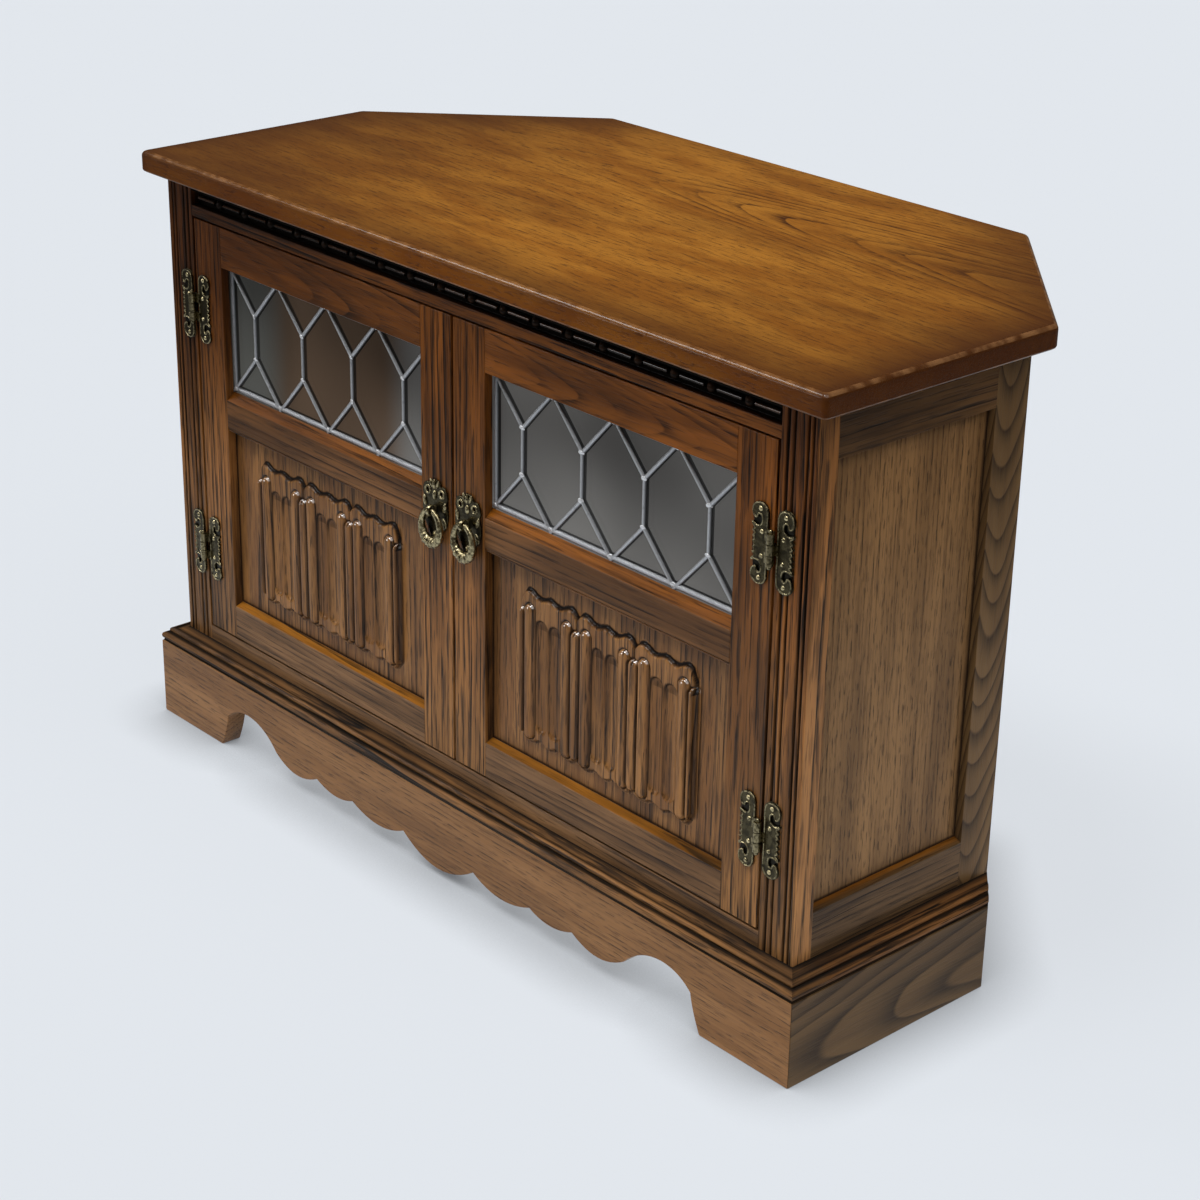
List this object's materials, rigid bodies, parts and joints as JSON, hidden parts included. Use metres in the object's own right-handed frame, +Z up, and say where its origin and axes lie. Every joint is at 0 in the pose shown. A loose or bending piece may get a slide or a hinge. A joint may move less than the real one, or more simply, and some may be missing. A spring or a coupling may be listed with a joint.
{
  "type": "corner cupboard",
  "caption": "Low oak corner cupboard with a canted plan, leaded glass and linenfold doors, surface hinges, drop ring handles and a scalloped plinth.",
  "frame": {"origin": "centre of the footprint's bounding box, on the floor", "axes": "+X to the right along the front, +Y from the front to the back corner, +Z up"},
  "size_m": [0.918, 0.4544, 0.6],
  "materials": {
    "top_oak": "stained golden oak, waxed to a soft gloss",
    "body_oak": "dark stained oak, satin",
    "linenfold_oak": "dark stained carved oak, satin",
    "side_oak": "mid brown stained oak, satin",
    "plinth_oak": "mid brown stained oak with bold grain, satin",
    "inside_oak": "brown stained oak, flat",
    "back_ply": "plain plywood, flat",
    "antique_brass": "antiqued, dark olive in the hollows and bright on the high edges",
    "lead": "dull grey lead with brighter solder joints",
    "clear_glass": "clear sheet glass",
    "catch_plastic": "brown moulded plastic"
  },
  "bodies": {
    "carcass": {"top_board": "top_oak", "frieze_rail": "body_oak", "bottom_rail": "body_oak", "cabinet_floor": "inside_oak", "shelf": "inside_oak", "back_panel": "back_ply", "rear_top_rail": "inside_oak", "door_catch": "catch_plastic", "plinth_front": "plinth_oak", "front_base_moulding": "body_oak", "right_corner_post": "body_oak", "left_corner_post": "body_oak", "right_rear_stile": "body_oak", "left_rear_stile": "body_oak", "right_side_top_rail": "body_oak", "left_side_top_rail": "body_oak", "right_side_bottom_rail": "body_oak", "left_side_bottom_rail": "body_oak", "right_side_panel": "side_oak", "left_side_panel": "side_oak", "right_shelf_batten": "inside_oak", "left_shelf_batten": "inside_oak", "right_cant_board": "inside_oak", "left_cant_board": "inside_oak", "right_plinth_side": "plinth_oak", "left_plinth_side": "plinth_oak", "right_base_moulding": "body_oak", "left_base_moulding": "body_oak", "right_upper_hinge_post_leaf": "antique_brass", "left_upper_hinge_post_leaf": "antique_brass", "right_lower_hinge_post_leaf": "antique_brass", "left_lower_hinge_post_leaf": "antique_brass"},
    "right_door": {"right_meeting_stile": "body_oak", "right_hinge_stile": "body_oak", "right_door_top_rail": "body_oak", "right_door_mid_rail": "body_oak", "right_door_bottom_rail": "body_oak", "right_linenfold_panel": "linenfold_oak", "right_lead_cames": "lead", "right_glass_pane": "clear_glass", "right_glazing_bead": "inside_oak", "right_handle_plate": "antique_brass", "right_upper_hinge_door_leaf": "antique_brass", "right_lower_hinge_door_leaf": "antique_brass"},
    "left_door": {"left_meeting_stile": "body_oak", "left_hinge_stile": "body_oak", "left_door_top_rail": "body_oak", "left_door_mid_rail": "body_oak", "left_door_bottom_rail": "body_oak", "left_linenfold_panel": "linenfold_oak", "left_lead_cames": "lead", "left_glass_pane": "clear_glass", "left_glazing_bead": "inside_oak", "left_handle_plate": "antique_brass", "left_upper_hinge_door_leaf": "antique_brass", "left_lower_hinge_door_leaf": "antique_brass"},
    "right_ring": {"right_drop_ring": "antique_brass"},
    "left_ring": {"left_drop_ring": "antique_brass"}
  },
  "joints": [
    {"name": "right_door_hinge", "type": "hinge", "parent": "carcass", "child": "right_door", "pos_m": [0.396, -0.21125, 0.329], "axis": [0, 0, 1], "range_deg": [0, 170]},
    {"name": "left_door_hinge", "type": "hinge", "parent": "carcass", "child": "left_door", "pos_m": [-0.396, -0.21125, 0.329], "axis": [0, 0, -1], "range_deg": [0, 170]},
    {"name": "right_ring_swing", "type": "hinge", "parent": "right_door", "child": "right_ring", "pos_m": [0.023, -0.213, 0.358], "axis": [-1, 0, 0], "range_deg": [0, 150]},
    {"name": "left_ring_swing", "type": "hinge", "parent": "left_door", "child": "left_ring", "pos_m": [-0.023, -0.213, 0.358], "axis": [-1, 0, 0], "range_deg": [0, 150]}
  ]
}
